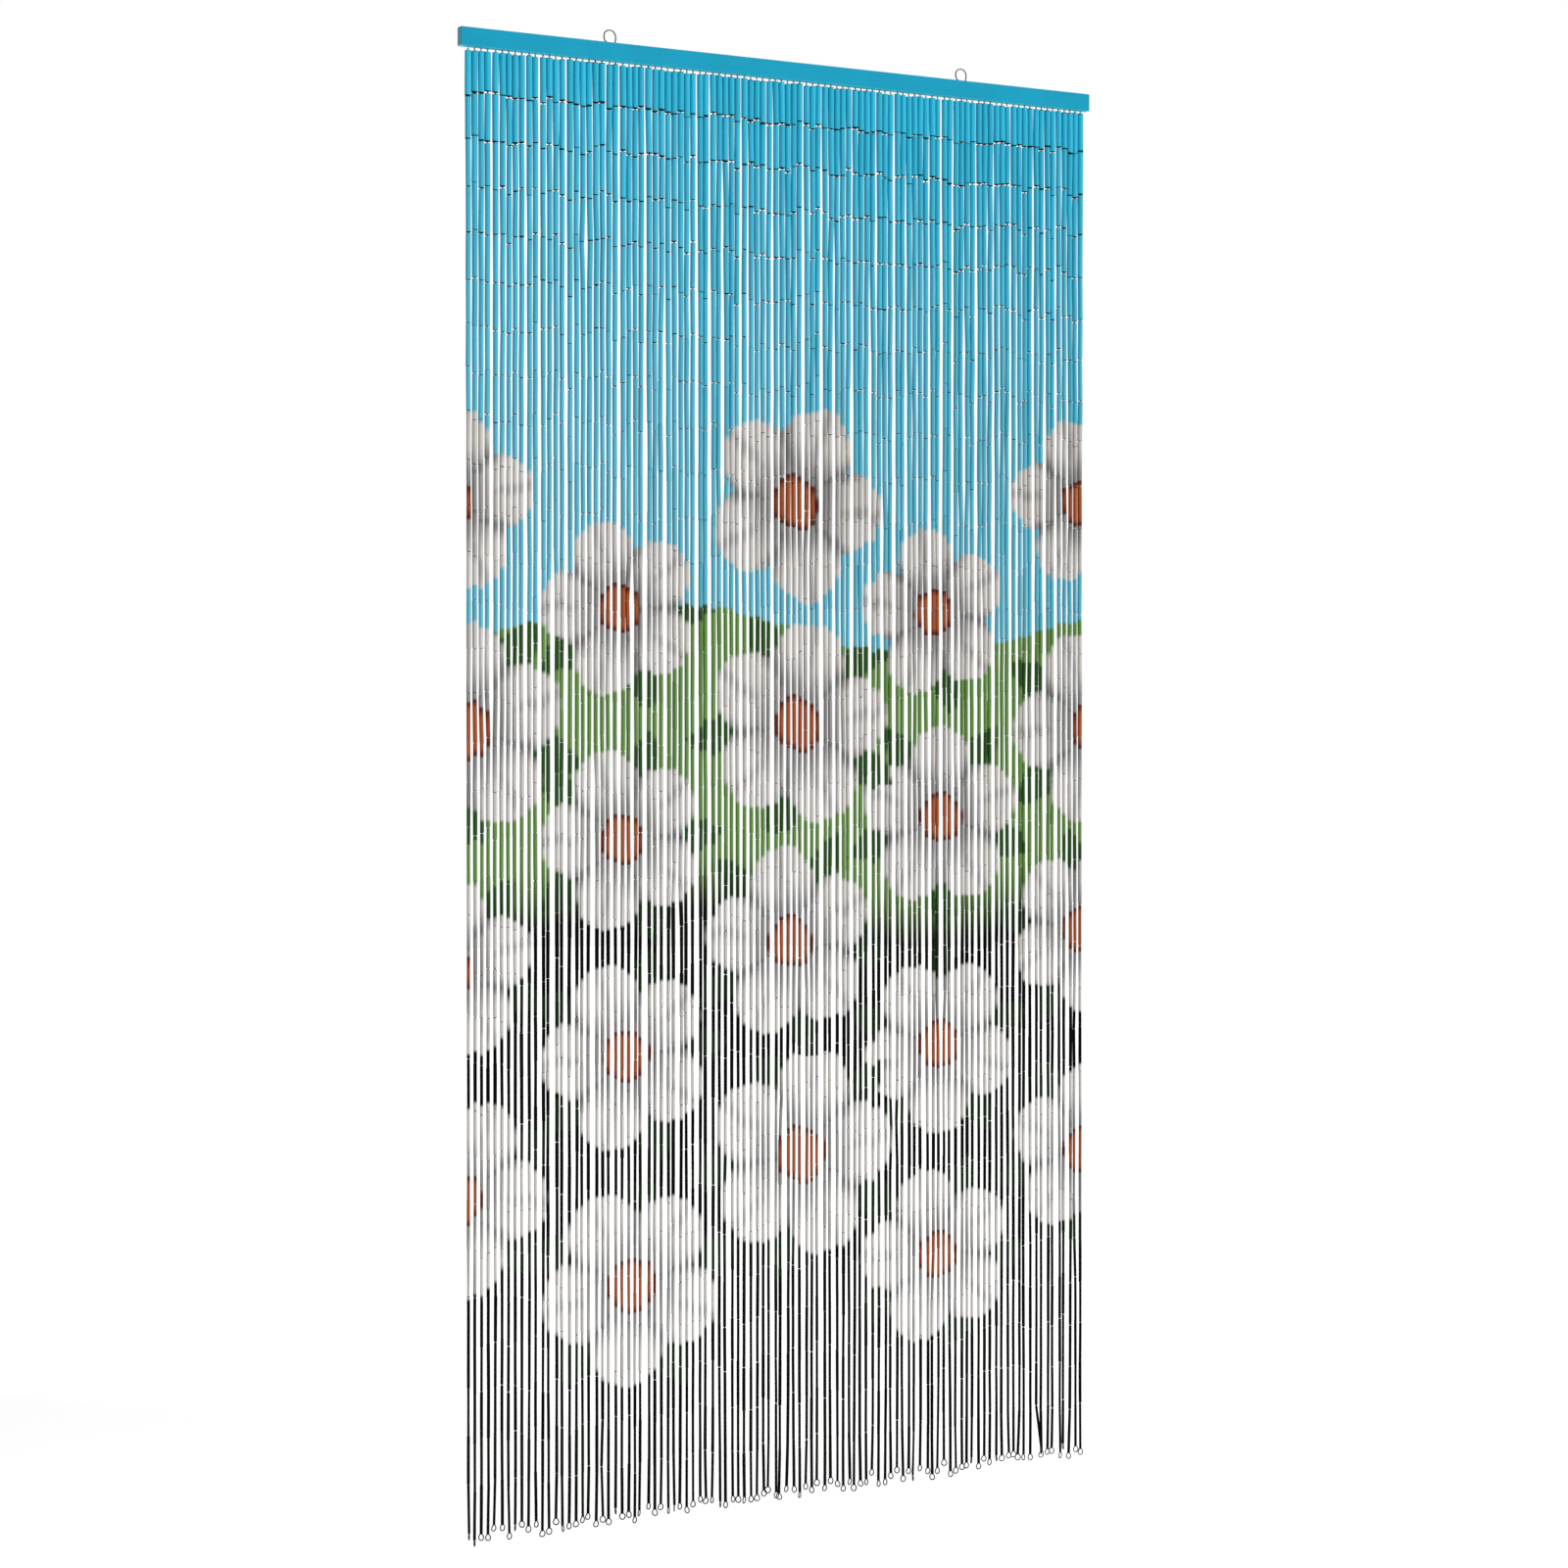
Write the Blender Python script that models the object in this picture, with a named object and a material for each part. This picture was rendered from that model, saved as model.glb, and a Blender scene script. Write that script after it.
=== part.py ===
"""Bamboo door curtain: a painted header rail with two screw eyes and a hundred hanging strands.

Metres, +Z up. X runs along the rail, the painted front faces -Y, and the origin is midway
between the centres of the two screw eyes, on the line of the hooks that the curtain hangs from.
"""

import math
import random

import bmesh
import bpy
from mathutils import Vector

# Header rail, a planed slat
RAIL_LENGTH = 1.000
RAIL_HEIGHT = 0.025
RAIL_DEPTH = 0.012
RAIL_ARRIS = 0.0008

# Screw eyes in the rail's top edge
EYE_SPACING = 0.560
EYE_WIRE = 0.0020
EYE_OUTER_DIAMETER = 0.018
EYE_SHANK_LENGTH = 0.013
EYE_RING_STEPS = 24
EYE_WIRE_SIDES = 8
SHANK_SIDES = 12

# Clearance between pieces that touch on the real curtain
SEAT_GAP = 0.0003

# Strands
STRAND_COUNT = 100
BANK_COUNT = 4
CURTAIN_DROP = 2.000  # from the rail's top edge to the lowest wire loops
END_INSET = 0.012  # from a rail end to the first strand
DROP_SPREAD = 0.009  # how far a strand may end above or below the mean
HANGER_SHORTEST = 0.0034  # bare wire between the rail and the first tube
HANGER_LONGEST = 0.0056
WIRE = 0.0012
BATTEN_HEIGHT = 0.0015
SHOULDER = 0.0005  # height in which a tube's end closes on its wire
STOUTNESS_SPREAD = 0.05  # how much thicker or thinner than the mean a strand's cane may be
SWAY_LEVELS = 6
SIDE_SWAY = 0.0003
DEPTH_SWAY = 0.0012
DRIFT = 0.0022  # how far to one side the most askew strands hang at the foot

# The tubes are graded from the thick end of the cane at the rail to the thin end at the floor
TAPER = (
    # (share of the drop, tube diameter)
    (0.00, 0.0085),
    (0.10, 0.0077),
    (0.25, 0.0068),
    (0.50, 0.0054),
    (0.75, 0.0043),
    (1.00, 0.0037),
)

# Wire loop that closes each strand, a little taller than wide
LOOP_HALF_WIDTH = 0.0040
LOOP_HALF_HEIGHT = 0.0047
LOOP_STEPS = 6
LOOP_NECK = 0.0010
LOOP_CLEARANCE = 0.0005

RAIL_TOP = -(EYE_OUTER_DIAMETER / 2 + SEAT_GAP)
RAIL_UNDERSIDE = RAIL_TOP - RAIL_HEIGHT
PITCH = (RAIL_LENGTH - 2 * END_INSET) / (STRAND_COUNT - 1)
BATTEN_TOP = RAIL_UNDERSIDE - SEAT_GAP
BATTEN_UNDERSIDE = BATTEN_TOP - BATTEN_HEIGHT
LOOP_HEIGHT = LOOP_NECK + 2 * LOOP_HALF_HEIGHT


def clear_scene():
    for old in list(bpy.data.objects):
        bpy.data.objects.remove(old)


def paint(name, colour, roughness, metallic=0.0):
    """A Principled BSDF of that name, its colour in linear light."""
    material = bpy.data.materials.new(name)
    material.use_nodes = True
    shader = material.node_tree.nodes["Principled BSDF"]
    shader.inputs["Base Color"].default_value = (*colour, 1.0)
    shader.inputs["Roughness"].default_value = roughness
    shader.inputs["Metallic"].default_value = metallic
    return material


def add_object(name, mesh, material, parent):
    piece = bpy.data.objects.new(name, mesh)
    piece.parent = parent
    mesh.materials.append(material)
    bpy.context.scene.collection.objects.link(piece)
    return piece


def mesh_of(name, bm):
    bmesh.ops.recalc_face_normals(bm, faces=bm.faces)
    mesh = bpy.data.meshes.new(name)
    bm.to_mesh(mesh)
    bm.free()
    return mesh


def round_bar(name, radius, top, bottom):
    """An upright bar on the Z axis, used for the eyes' shanks and their pilot holes."""
    bm = bmesh.new()
    bmesh.ops.create_cone(
        bm, cap_ends=True, segments=SHANK_SIDES, radius1=radius, radius2=radius, depth=top - bottom
    )
    bmesh.ops.translate(bm, verts=bm.verts, vec=(0, 0, (top + bottom) / 2))
    return mesh_of(name, bm)


def guide(name, mesh, parent, place):
    """A shape that only cuts or joins another one."""
    shape = bpy.data.objects.new(name, mesh)
    shape.parent = parent
    shape.location = place
    shape.hide_render = True
    shape.display_type = "WIRE"
    bpy.context.scene.collection.objects.link(shape)
    return shape


def boolean(piece, other, operation):
    cut = piece.modifiers.new(other.name, "BOOLEAN")
    cut.operation = operation
    cut.solver = "EXACT"
    cut.object = other


def eye_places():
    """Each screw eye's side and its place along the rail."""
    return (("left", -EYE_SPACING / 2), ("right", EYE_SPACING / 2))


def build_rail(material, parent):
    """The slat, its arrises eased, with a pilot hole for each screw eye."""
    bm = bmesh.new()
    bmesh.ops.create_cube(bm, size=1.0)
    bmesh.ops.scale(bm, verts=bm.verts, vec=(RAIL_LENGTH, RAIL_DEPTH, RAIL_HEIGHT))
    bmesh.ops.bevel(
        bm, geom=bm.edges[:], offset=RAIL_ARRIS, segments=1, affect="EDGES", clamp_overlap=True
    )
    rail = add_object("header_rail", mesh_of("header_rail", bm), material, parent)
    rail.location = (0, 0, RAIL_TOP - RAIL_HEIGHT / 2)
    hole_radius = EYE_WIRE / 2 + SEAT_GAP / math.cos(math.pi / SHANK_SIDES)
    hole_top = RAIL_TOP + EYE_WIRE
    hole_bottom = RAIL_TOP - EYE_SHANK_LENGTH - SEAT_GAP
    for side, x in eye_places():
        hole = round_bar("pilot_hole_" + side, hole_radius, hole_top, hole_bottom)
        boolean(rail, guide("pilot_hole_" + side, hole, parent, (x, 0, 0)), "DIFFERENCE")
    return rail


def ring_mesh():
    """The eye's ring, which stands in the plane of the rail with its centre on the hooks' line."""
    bm = bmesh.new()
    middle_radius = (EYE_OUTER_DIAMETER - EYE_WIRE) / 2
    section = [
        bm.verts.new(
            (
                middle_radius + EYE_WIRE / 2 * math.cos(2 * math.pi * k / EYE_WIRE_SIDES),
                EYE_WIRE / 2 * math.sin(2 * math.pi * k / EYE_WIRE_SIDES),
                0,
            )
        )
        for k in range(EYE_WIRE_SIDES)
    ]
    edges = [bm.edges.new((section[k - 1], section[k])) for k in range(EYE_WIRE_SIDES)]
    bmesh.ops.spin(
        bm,
        geom=section + edges,
        cent=(0, 0, 0),
        axis=(0, 1, 0),
        angle=2 * math.pi,
        steps=EYE_RING_STEPS,
        use_merge=True,
    )
    return mesh_of("eye_ring", bm)


def build_screw_eyes(material, parent):
    """Each eye is a closed ring on a shank that goes down into the rail."""
    shank_top = -EYE_OUTER_DIAMETER / 2 + EYE_WIRE / 2
    shank_bottom = RAIL_TOP - EYE_SHANK_LENGTH
    for side, x in eye_places():
        eye = add_object("screw_eye_" + side, ring_mesh(), material, parent)
        eye.location = (x, 0, 0)
        shank = round_bar("shank_" + side, EYE_WIRE / 2, shank_top, shank_bottom)
        boolean(eye, guide("shank_" + side, shank, parent, (x, 0, 0)), "UNION")


def cane_diameter(share):
    """Mean diameter of the cane at a share of the drop, read from the taper's table."""
    for (start, thick), (end, thin) in zip(TAPER, TAPER[1:]):
        if share <= end:
            return thick + (thin - thick) * (share - start) / (end - start)
    return TAPER[-1][1]


class Strand:
    """Where one strand hangs: its place on the rail, its length and its sway at each level."""

    def __init__(self, number):
        chance = random.Random(1000 + number)
        self.x = -RAIL_LENGTH / 2 + END_INSET + PITCH * number
        self.top = RAIL_UNDERSIDE - chance.uniform(HANGER_SHORTEST, HANGER_LONGEST)
        self.bottom = RAIL_TOP - CURTAIN_DROP + chance.uniform(-DROP_SPREAD, DROP_SPREAD)
        self.stoutness = 1 + chance.uniform(-STOUTNESS_SPREAD, STOUTNESS_SPREAD)
        self.sway_x = [chance.uniform(-1, 1) for _ in range(SWAY_LEVELS + 1)]
        self.sway_y = [0.0] + [chance.uniform(-1, 1) for _ in range(SWAY_LEVELS)]
        self.loop_turn = math.pi / 2 * chance.uniform(-1, 1) ** 3  # most face the front
        self.drift = DRIFT * chance.uniform(-1, 1) ** 5  # next to none for most strands

    def level(self, k):
        """Centre and diameter at level k, from 0 at the first tube's top to the last tube's end."""
        share = k / SWAY_LEVELS
        diameter = cane_diameter(share) * self.stoutness
        return (
            Vector(
                (
                    self.x + self.sway_x[k] * SIDE_SWAY + self.drift * share,
                    self.sway_y[k] * DEPTH_SWAY,
                    self.top + (self.bottom + LOOP_HEIGHT - self.top) * share,
                )
            ),
            diameter,
        )


def crowded_loops_turned(strands):
    """Turns each wire loop edge-on as far as the room beside its neighbours asks."""
    feet = [strand.level(SWAY_LEVELS) for strand in strands]
    taken = -math.inf
    for number, strand in enumerate(strands):
        x = feet[number][0].x
        room = x - taken
        if number + 1 < len(feet):
            centre, diameter = feet[number + 1]
            room = min(room, centre.x - diameter / 2 - x)
        room -= LOOP_CLEARANCE + WIRE / 2
        least_turn = math.acos(min(1.0, max(0.0, room / LOOP_HALF_WIDTH)))
        strand.loop_turn = math.copysign(max(abs(strand.loop_turn), least_turn), strand.loop_turn)
        half_width = LOOP_HALF_WIDTH * math.cos(strand.loop_turn) + WIRE / 2
        taken = x + max(half_width, feet[number][1] / 2)


def square(bm, centre, side, turn=0.0):
    """Four points of a level square round a centre, anticlockwise seen from above."""
    corners = []
    for k in range(4):
        angle = turn + math.pi / 4 + k * math.pi / 2
        reach = side / math.sqrt(2)
        corners.append(
            bm.verts.new(centre + Vector((math.cos(angle) * reach, math.sin(angle) * reach, 0)))
        )
    return corners


def skin(bm, upper, lower):
    """Side faces between two sections of the same number of points."""
    for k in range(len(upper)):
        bm.faces.new((upper[k - 1], upper[k], lower[k], lower[k - 1]))


def add_loop(bm, neck, centre, turn):
    """A ring of square wire under a strand's end, its top flank opened and joined to the neck."""
    across = Vector((math.cos(turn), math.sin(turn), 0))
    through = Vector((-math.sin(turn), math.cos(turn), 0)) * WIRE / 2
    flat_height = LOOP_HALF_HEIGHT / math.cos(math.pi / LOOP_STEPS)  # the flats, not the corners
    sections = []
    for k in range(LOOP_STEPS):
        angle = math.pi / 2 - math.pi / LOOP_STEPS + k * 2 * math.pi / LOOP_STEPS
        outward = across * math.cos(angle)
        upward = Vector((0, 0, math.sin(angle)))
        outer = centre + outward * LOOP_HALF_WIDTH + upward * flat_height
        inner = centre + outward * (LOOP_HALF_WIDTH - WIRE) + upward * (flat_height - WIRE)
        sections.append([bm.verts.new(p) for p in (
            outer + through, inner + through, inner - through, outer - through
        )])
    for k in range(LOOP_STEPS):
        here, after = sections[k], sections[(k + 1) % LOOP_STEPS]
        for side in range(4):
            if k == 0 and side == 0:
                continue  # the flank under the strand, between the two outer edges
            bm.faces.new((here[side - 1], here[side], after[side], after[side - 1]))
    first, second = sections[0], sections[1]
    skin(bm, neck, [first[0], second[0], second[3], first[3]])


def add_strand(bm, strand, root):
    """Hanger wire, graded cane and end loop, grown down from the batten's open square."""
    upper = square(bm, strand.level(0)[0], WIRE)
    skin(bm, root, upper)
    for k in range(SWAY_LEVELS + 1):
        centre, diameter = strand.level(k)
        if k == 0:
            centre.z -= SHOULDER
        lower = square(bm, centre, diameter)
        skin(bm, upper, lower)
        upper = lower
    neck = square(bm, centre - Vector((0, 0, SHOULDER)), WIRE, strand.loop_turn)
    quarter_turns = round(strand.loop_turn / (math.pi / 2))
    skin(bm, upper, neck[-quarter_turns:] + neck[:-quarter_turns])
    loop_centre = Vector((centre.x, centre.y, strand.bottom + LOOP_HALF_HEIGHT))
    add_loop(bm, neck, loop_centre, strand.loop_turn)


def build_bank(number, strands, material, parent):
    """A run of strands whose hanger wires share one batten under the rail."""
    bm = bmesh.new()
    half = WIRE / 2
    ends = (strands[0].x - PITCH / 2 + SEAT_GAP / 2, strands[-1].x + PITCH / 2 - SEAT_GAP / 2)
    top = [bm.verts.new((x, y, BATTEN_TOP)) for x, y in (
        (ends[0], -half), (ends[1], -half), (ends[1], half), (ends[0], half)
    )]
    front = [bm.verts.new((ends[0], -half, BATTEN_UNDERSIDE))]
    back = [bm.verts.new((ends[0], half, BATTEN_UNDERSIDE))]
    roots = []
    for strand in strands:
        root = square(bm, Vector((strand.level(0)[0].x, 0, BATTEN_UNDERSIDE)), WIRE)
        bm.faces.new((front[-1], root[2], root[1], back[-1]))
        front += [root[2], root[3]]
        back += [root[1], root[0]]
        roots.append(root)
    front.append(bm.verts.new((ends[1], -half, BATTEN_UNDERSIDE)))
    back.append(bm.verts.new((ends[1], half, BATTEN_UNDERSIDE)))
    bm.faces.new((front[-2], front[-1], back[-1], back[-2]))
    bm.faces.new(top)
    bm.faces.new([top[1], top[0]] + front)
    bm.faces.new([top[2], top[3]] + back)
    bm.faces.new((top[0], top[3], back[0], front[0]))
    bm.faces.new((top[1], top[2], back[-1], front[-1]))
    for strand, root in zip(strands, roots):
        add_strand(bm, strand, root)
    add_object(f"strand_bank_{number}", mesh_of(f"strand_bank_{number}", bm), material, parent)


def main():
    clear_scene()
    curtain = bpy.data.objects.new("door_curtain", None)
    bpy.context.scene.collection.objects.link(curtain)
    rail_paint = paint("rail_paint", (0.013, 0.367, 0.570), 0.45)
    steel = paint("zinc_plated_steel", (0.48, 0.47, 0.45), 0.3, 1.0)
    bamboo = paint("painted_bamboo", (0.045, 0.462, 0.686), 0.5)

    build_rail(rail_paint, curtain)
    build_screw_eyes(steel, curtain)

    strands = [Strand(number) for number in range(STRAND_COUNT)]
    crowded_loops_turned(strands)
    per_bank = STRAND_COUNT // BANK_COUNT
    for bank in range(BANK_COUNT):
        members = strands[bank * per_bank:(bank + 1) * per_bank]
        build_bank(bank + 1, members, bamboo, curtain)


main()
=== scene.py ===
"""Looks of a bamboo door curtain: every tube, wire link and foot loop, the rail, and their finishes.

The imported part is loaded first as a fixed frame, and each string of tubes hangs where its CAD rod is.
Metres, +Z up; X runs along the rail and the painted front faces -Y.
"""

import math

import bpy
import numpy as np
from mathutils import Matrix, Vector


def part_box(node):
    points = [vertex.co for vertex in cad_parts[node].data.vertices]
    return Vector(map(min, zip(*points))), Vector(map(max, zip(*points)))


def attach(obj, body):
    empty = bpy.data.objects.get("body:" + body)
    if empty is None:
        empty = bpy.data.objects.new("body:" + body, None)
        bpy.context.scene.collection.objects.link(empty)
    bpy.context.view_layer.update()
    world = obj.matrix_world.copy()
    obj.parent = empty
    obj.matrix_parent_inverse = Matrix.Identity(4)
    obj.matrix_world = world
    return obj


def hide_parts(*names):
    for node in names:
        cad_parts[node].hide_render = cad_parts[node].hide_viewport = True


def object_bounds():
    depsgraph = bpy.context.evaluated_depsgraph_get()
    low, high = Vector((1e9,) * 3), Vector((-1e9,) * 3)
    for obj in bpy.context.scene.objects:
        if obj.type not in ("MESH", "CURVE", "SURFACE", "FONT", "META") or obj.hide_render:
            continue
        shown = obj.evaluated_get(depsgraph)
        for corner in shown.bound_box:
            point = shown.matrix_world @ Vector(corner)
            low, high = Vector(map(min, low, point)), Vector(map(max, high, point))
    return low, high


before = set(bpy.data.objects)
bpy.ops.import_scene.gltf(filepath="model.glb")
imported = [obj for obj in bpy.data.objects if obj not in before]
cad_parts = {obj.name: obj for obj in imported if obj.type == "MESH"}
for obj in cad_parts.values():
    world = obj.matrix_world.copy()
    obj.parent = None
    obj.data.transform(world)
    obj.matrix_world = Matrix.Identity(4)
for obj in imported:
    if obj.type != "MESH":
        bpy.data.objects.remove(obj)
cad_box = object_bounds()

# The row of strands, as in the part
STRAND_COUNT = 100
BANK_COUNT = 4
PER_BANK = STRAND_COUNT // BANK_COUNT
END_INSET = 0.012  # from a rail end to the first strand
CANE_SECTIONS = 7  # square sections down each CAD rod
CORNERS = 4
WELD_DIGITS = 5  # corners that agree to so many decimals of a metre are one corner

# Bamboo tubes
TUBES_PER_STRAND = 32
TUBE_SIDES = 10
LENGTH_SPREAD = 0.075  # share of a tube's length by which it may be cut longer or shorter
THICKNESS_SPREAD = (0.03, 0.13)  # at the rail and at the foot, as a share
FULLNESS = (1.10, 0.972, 0.958, 1.0, 1.07)  # thickness against the CAD rod's, at the shares below
FULLNESS_LEVELS = (0.0, 0.08, 0.2, 0.35, 1.0)
TAPER_SPREAD = 0.02  # thicker at one end than at the other, as cane grows
SMALLEST_GAP = 0.0002
LARGEST_GAP = (0.0034, 0.0018, 0.0007, 0.0018)  # between tubes, at the shares of the drop below
GAP_LEVELS = (0.0, 0.15, 0.35, 1.0)
GAP_SKEW = 1.5  # over 1, so that most gaps are near the smallest
FIRST_TUBE = 0.93  # length of a strand's first tube as a share of the others'
DEPTH_SWING = (0.0008, 0.0008, 0.0004, 0.0003)  # at the shares in CLING_FADES
SLACK = 0.00004  # sideways play of a tube's end on its wire eye
DEPTH_SLACK = 0.0002
FOOT_SWING = 0.0025  # the lowest tube hangs loosest
BOW = 0.0001
OVALNESS = 0.03
SAW_SKEW = 0.06  # slope of a cut end that wasn't sawn square
BORE_SHARE = 0.6
BORE_DEPTH = 0.004
CHAMFER_SHARE = 0.07  # of the radius, worn off the rim of a cut end
CREASE_ANGLE = math.radians(40)
BARE_AND_SHADED_EDGE = (0.0008, 0.00030, 0.00025)  # dark band at each end, partly unpainted and partly painted shade, at the shares of the drop below
BARE_AND_SHADED_LEVELS = (0.0, 0.25, 1.0)
BARE_AND_SHADED_SPREAD = (0.4, 1.6)  # least and most of that on one tube, as a share
BARE_AND_SHADED_FADE = 1.6  # the dark band has faded out at so many times its width
TOP_LESS_SHADED = 0.0006  # the dark band is so much narrower at a tube's upper end, as the painted shade lies under its lower end

TUBE_RINGS = (
    # (share of the length, chamfers in from that end, share of the radius, place on the unrolled map)
    (0.0, 0, BORE_SHARE, 0.05),
    (0.0, 0, 1 - CHAMFER_SHARE, 0.07),
    (0.0, 1, 1.0, 0.08),
    (1 / 3, 0, 1.0, 0.36),
    (2 / 3, 0, 1.0, 0.64),
    (1.0, -1, 1.0, 0.92),
    (1.0, 0, 1 - CHAMFER_SHARE, 0.93),
    (1.0, 0, BORE_SHARE, 0.95),
)

MAP_ROWS = 16  # cells one above another on the unrolled map
MAP_MARGIN = np.array([0.06, 0.01])  # share of a cell left free round the tube's skin

# Neighbouring strands that brush cling together in small groups, most of all near the rail
CLING_FADES = (0.0, 0.3, 0.6, 1.0)  # shares of the drop
CLING_ODDS = (0.60, 0.55, 0.20, 0.04)
CLING_REACH = (0.0008, 0.0014, 0.0014, 0.0010)  # how far a strand may hang aside
CLING_LASTS = 0.93  # odds that two strands still cling one tube lower
CLING_GAP = 0.00012
LEAN = 0.0007  # how far a strand of itself leans to one side
LEAN_LEVELS = 5  # places down a strand between which its lean changes evenly
STIFFNESS = 0.8  # how strongly a strand straightens out from tube to tube
KINK = (0.0004, 0.0004, 0.0002, 0.0)  # how far a joint may stand out of its strand's even line

# The strands settle beside each other in small steps: in even bends first, then with their kinks
SETTLING_STEPS = 120
CLINGING_STEPS = 100  # after these they only make room for each other
STRAIGHTENING_STEPS = 80  # after these they take on their kinks and aren't straightened again
SETTLING_PACE = 0.25  # share of the room between two strands that each gives or takes in a step

# One strand hooks its lowest tube over its right-hand neighbour's
HOOKED_STRAND = 91
HOOKED_BY = (0.0060, -0.0036, 0.0)

# Iron wire
WIRE_RADIUS = 0.0005
LOOP_WIRE_RADIUS = 0.0008
EYE_HALF_WIDTH = 0.0009  # of the small eyes that link the tubes
EYE_INSIDE = 0.003  # how far an eye's wire is seated in the bore or in the rail
LOOP_SEAT = 0.0014  # how far the lowest tube reaches down over its loop's neck
FOOT_LOOP_NARROWEST = 0.0031
FOOT_LOOP_WIDEST = 0.0041
FOOT_LOOP_PEAR = (0.0, 0.55)  # 0 for an oval eye and 1 for one with a narrow neck
FOOT_LOOP_TURNS = 0.965  # the bent wire stops short of closing
FOOT_LOOP_SEAT = 0.0005  # how far its ends go up into the tube
FOOT_LOOP_SWING = 0.0008
EYE_PEAR = 1.0
LINK_DETAIL = (6, 4)  # steps round an eye and sides round its wire
HANGER_DETAIL = (14, 6)
FOOT_LOOP_DETAIL = (26, 8)

# Screw eyes, bent from wire: in through the rail's top, over the hook and back to the rail
EYE_BOLT_RADIUS = 0.0010
EYE_BOLT_SIDES = 14
EYE_COURSE_STEPS = 6  # from each point of the course below to the next
EYE_COURSE = (
    # (across, up), from the screwed end
    (0.0062, -0.0200), (0.0069, -0.0130), (0.0080, -0.0080), (0.0088, -0.0030), (0.0083, 0.0022),
    (0.0056, 0.0061), (0.0006, 0.0080), (-0.0045, 0.0067), (-0.0079, 0.0033), (-0.0086, -0.0014),
    (-0.0079, -0.0052), (-0.0059, -0.0077), (-0.0039, -0.0084),
)

# Seeds of the chance that sets each strand and tube apart
HANGING_SEED = 31
TUBE_SEED = 7000
LINK_SEED = 8000
LOOP_SEED = 9000

# Camera, fitted to the rail's corners and the strands' ends in the photo, 1600 pixels square
PHOTO_SIZE = 1600
SENSOR = 36.0
FOCAL_PIXELS = 3145.9
HORIZON_PIXEL = 684.7
CAMERA_PLACE = (-2.0866, -3.767, -0.8591)
CAMERA_TURN = math.radians(-28.857)

FLOOR_CLEARANCE = 0.027
FLOOR_RADIUS = 9.0
FLOOR_SIDES = 96
FLOOR_LIFT = 0.80
FLOOR_GLOW = 0.45  # light that the floor gives back to the curtain's underside
ROOM_LIGHT = 0.22

PAINT_GLOSS = 0.06  # specular level of the thin, matted paint

rail_low, rail_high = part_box("header_rail")
PITCH = (rail_high.x - rail_low.x - 2 * END_INSET) / (STRAND_COUNT - 1)


# Material helpers

def linear(web_colour):
    """An sRGB hex colour as the linear light that shaders work in."""
    channels = [int(web_colour[k:k + 2], 16) / 255 for k in (1, 3, 5)]
    light = [c / 12.92 if c <= 0.04045 else ((c + 0.055) / 1.055) ** 2.4 for c in channels]
    return (*light, 1.0)


def add(tree, kind, feeds=(), **settings):
    """Adds a node with its settings, and feeds its open sockets with values or other nodes."""
    node = tree.nodes.new("ShaderNode" + kind)
    for name, value in settings.items():
        setattr(node, name, value)
    sockets = [socket for socket in node.inputs if socket.enabled]
    for key, value in feeds.items() if isinstance(feeds, dict) else enumerate(feeds):
        socket = sockets[key] if isinstance(key, int) else next(s for s in sockets if s.name == key)
        if isinstance(value, bpy.types.Node):
            value = result_of(value)
        if isinstance(value, bpy.types.NodeSocket):
            tree.links.new(value, socket)
        else:
            socket.default_value = value
    return node


def result_of(node):
    """A node's first open output."""
    return next(output for output in node.outputs if output.enabled)


def new_finish(name):
    """An empty node material and its Principled BSDF."""
    finish = bpy.data.materials.new(name)
    finish.use_nodes = True
    return finish, finish.node_tree, finish.node_tree.nodes["Principled BSDF"]


# The painted design

BLOSSOM_COLUMN = 0.25
BLOSSOM_ROW = 0.31
BLOSSOM_HIGHEST = -0.52
BLOSSOM_LOWEST = -1.80
PLACE_SPREAD = 0.035
SMALLEST_BLOSSOM = 1.02  # scales the petals below
SIZE_RANGE = 0.26
PETALS = 5
PETAL_MIDDLE = 0.066
PETAL_HALF_LENGTH = 0.050
PETAL_HALF_WIDTH = 0.047
LEAF_MIDDLE = 0.098
LEAF_HALF_LENGTH = 0.046
LEAF_HALF_WIDTH = 0.022
EYE_OF_BLOSSOM = 0.032
EYE_RIM = 0.021  # from here outwards the eye darkens
EYE_EDGE = 0.0015
BLOSSOM_TURN = 9.0  # radians over which the blossoms' own turns are spread
LEAF_EDGE = (1.1, 0.85)  # where the paint starts and where it is full; 1 is the leaf's outline
PETAL_EDGE = (1.12, 0.90)  # the same for a petal
# Airbrushed shade of a petal: (where it starts, where it is darkest, least, most)
CREASE_SHADE = (0.012, 0.001, 0.0, 0.45)  # beside the petal's middle line
DEEP_SHADE = (0.080, 0.034, 0.0, 0.8)  # along the petal, towards the eye
FLANK_SHADE = (0.38, 0.63, 0.0, 0.95)  # radians off the petal's middle line
SKY_PALES = (-0.05, -0.60)
MEADOW_LINE = -0.80
MEADOW_EDGE = 0.003
DARK_LINE = -1.17
DARK_FADE = 0.05
HILL_HEIGHT = 0.035
HILL_LENGTH = 0.83
FOLIAGE_SCALE = 7.0  # dim leaves in soft patches about 140 mm across
FOLIAGE_EDGE = (0.52, 0.62)
PAINT_SHIFT = 0.004  # a strand may hang this much higher or lower than when it was painted


def squared_ratio(t, value, whole):
    """The square of value over whole; two of these added up make an ellipse."""
    ratio = add(t, "Math", [value, whole], operation="DIVIDE")
    return add(t, "Math", [ratio, ratio], operation="MULTIPLY")


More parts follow.
